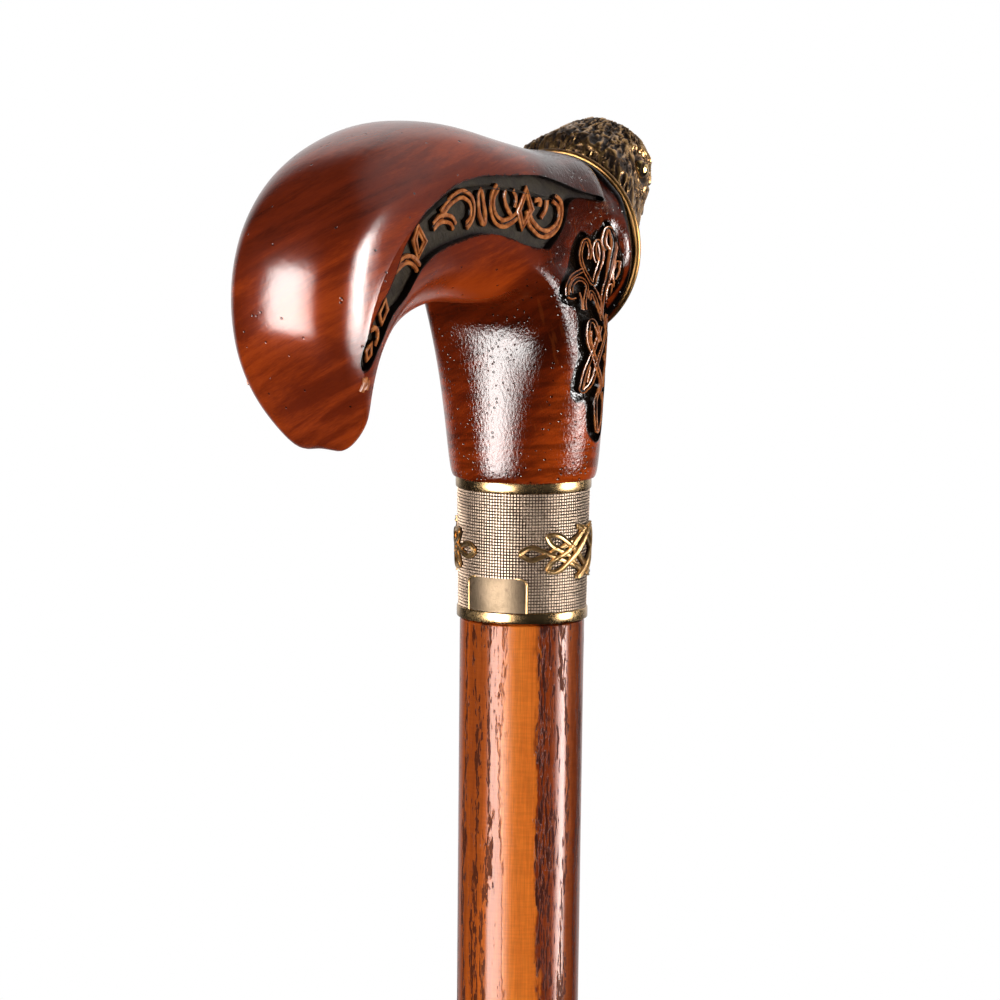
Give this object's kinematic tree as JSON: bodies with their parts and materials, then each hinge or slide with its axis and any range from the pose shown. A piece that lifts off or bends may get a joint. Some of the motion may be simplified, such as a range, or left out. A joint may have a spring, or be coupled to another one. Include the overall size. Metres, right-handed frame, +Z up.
{
  "type": "walking cane",
  "caption": "Walking cane with a hooked hardwood grip, cast raven head, decorated metal collar, tapered ash shaft and rubber tip.",
  "frame": {"origin": "centre of the flat middle of the rubber tip's tread, on the shaft's axis, where the cane meets the ground", "axes": "+Z up the shaft towards the handle, +X the way the raven looks, +Y to the raven's left"},
  "size_m": [0.1319, 0.036, 0.9147],
  "materials": {
    "handle_wood": "clear gloss lacquer over red-brown stain",
    "shaft_ash": "satin lacquer over stained open-pored ash",
    "collar_bronze": "antiqued cast bronze, polished on the rims and raised ornament",
    "head_bronze": "antiqued cast bronze with dark recesses",
    "ring_brass": "polished brass, lightly aged",
    "insert_brass": "machined brass",
    "stud_steel": "zinc-plated steel",
    "tip_rubber": "matt black moulded rubber"
  },
  "bodies": {
    "root": {"handle": "handle_wood", "handle_insert": "insert_brass", "joint_stud": "stud_steel", "collar": "collar_bronze", "shaft": "shaft_ash", "neck_ring": "ring_brass", "raven_head": "head_bronze", "head_stud": "stud_steel", "head_pin": "stud_steel", "rubber_tip": "tip_rubber", "tip_washer": "stud_steel"}
  },
  "joints": []
}
